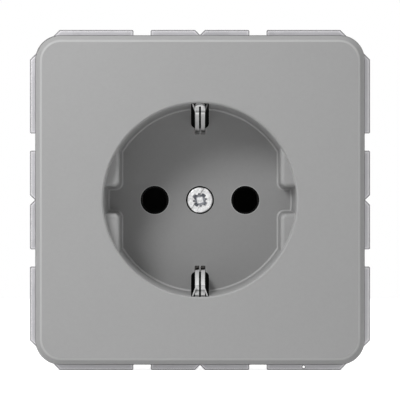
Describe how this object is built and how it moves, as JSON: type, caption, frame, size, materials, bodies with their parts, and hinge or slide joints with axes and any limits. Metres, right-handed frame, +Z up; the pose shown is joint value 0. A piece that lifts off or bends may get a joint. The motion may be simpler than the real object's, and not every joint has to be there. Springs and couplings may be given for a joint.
{
  "type": "type F wall socket",
  "caption": "Grey flush wall socket with a round plug recess, pin holes, sprung earth clips, a steel support ring with spreading claws and rear wire terminals.",
  "frame": {"origin": "centre of the support ring on the wall plane, which is the rear of its outer strip", "axes": "+Z up, -Y out of the wall towards the user, +X to the right as seen from the front"},
  "size_m": [0.071, 0.042, 0.071],
  "materials": {
    "grey_cover": "grey thermoset moulding, satin gloss",
    "galvanised_steel": "galvanised sheet steel",
    "zinc_screw": "bright zinc plating",
    "nickel_bronze": "nickel plated spring bronze",
    "black_base": "black moulding",
    "tinned_bronze": "spring bronze strip",
    "spring_steel": "stainless spring strip",
    "button_orange": "moulded plastic",
    "button_green": "moulded plastic",
    "claw_steel": "zinc plated sheet steel",
    "rivet_steel": "plain steel",
    "rivet_brass": "plain brass"
  },
  "bodies": {
    "root": {"support_ring": "galvanised_steel", "cover_plate": "grey_cover", "cover_screw": "zinc_screw", "earth_bracket": "nickel_bronze", "socket_base": "black_base", "terminal_cover": "black_base", "contact_left": "tinned_bronze", "contact_right": "tinned_bronze", "earth_terminal": "tinned_bronze", "ring_rivets": "rivet_steel", "earth_rivet": "rivet_brass", "clamp_spring_right_1": "spring_steel", "clamp_spring_right_2": "spring_steel", "clamp_spring_left_1": "spring_steel", "clamp_spring_left_2": "spring_steel", "clamp_spring_earth_1": "spring_steel", "clamp_spring_earth_2": "spring_steel"},
    "claw_left": {"claw_left": "claw_steel"},
    "claw_right": {"claw_right": "claw_steel"},
    "claw_screw_left": {"claw_screw_left": "zinc_screw"},
    "claw_screw_right": {"claw_screw_right": "zinc_screw"},
    "release_button_right": {"release_button_right": "button_orange"},
    "release_button_left": {"release_button_left": "button_orange"},
    "release_button_earth": {"release_button_earth": "button_green"}
  },
  "joints": [
    {"name": "claw_tilt_left", "type": "hinge", "parent": "root", "child": "claw_screw_left", "pos_m": [-0.0254, -0.0016, 0], "axis": [0, 0, 1], "range_deg": [0, 8]},
    {"name": "claw_draw_left", "type": "slide", "parent": "claw_screw_left", "child": "claw_left", "axis": [0, -1, 0], "range_m": [0, 0.006]},
    {"name": "claw_tilt_right", "type": "hinge", "parent": "root", "child": "claw_screw_right", "pos_m": [0.0254, -0.0016, 0], "axis": [0, 0, -1], "range_deg": [0, 8]},
    {"name": "claw_draw_right", "type": "slide", "parent": "claw_screw_right", "child": "claw_right", "axis": [0, -1, 0], "range_m": [0, 0.006]},
    {"name": "release_press_right", "type": "slide", "parent": "root", "child": "release_button_right", "axis": [0, -1, 0], "range_m": [0, 0.0015], "stiffness_N_per_m": 600, "springref_m": -0.001},
    {"name": "release_press_left", "type": "slide", "parent": "root", "child": "release_button_left", "axis": [0, -1, 0], "range_m": [0, 0.0015], "stiffness_N_per_m": 600, "springref_m": -0.001},
    {"name": "release_press_earth", "type": "slide", "parent": "root", "child": "release_button_earth", "axis": [0, -1, 0], "range_m": [0, 0.0015], "stiffness_N_per_m": 600, "springref_m": -0.001}
  ],
  "couplings": [
    {"joint": "claw_tilt_left", "follows": "claw_draw_left", "rad_per_m": 23.2},
    {"joint": "claw_tilt_right", "follows": "claw_draw_right", "rad_per_m": 23.2}
  ]
}
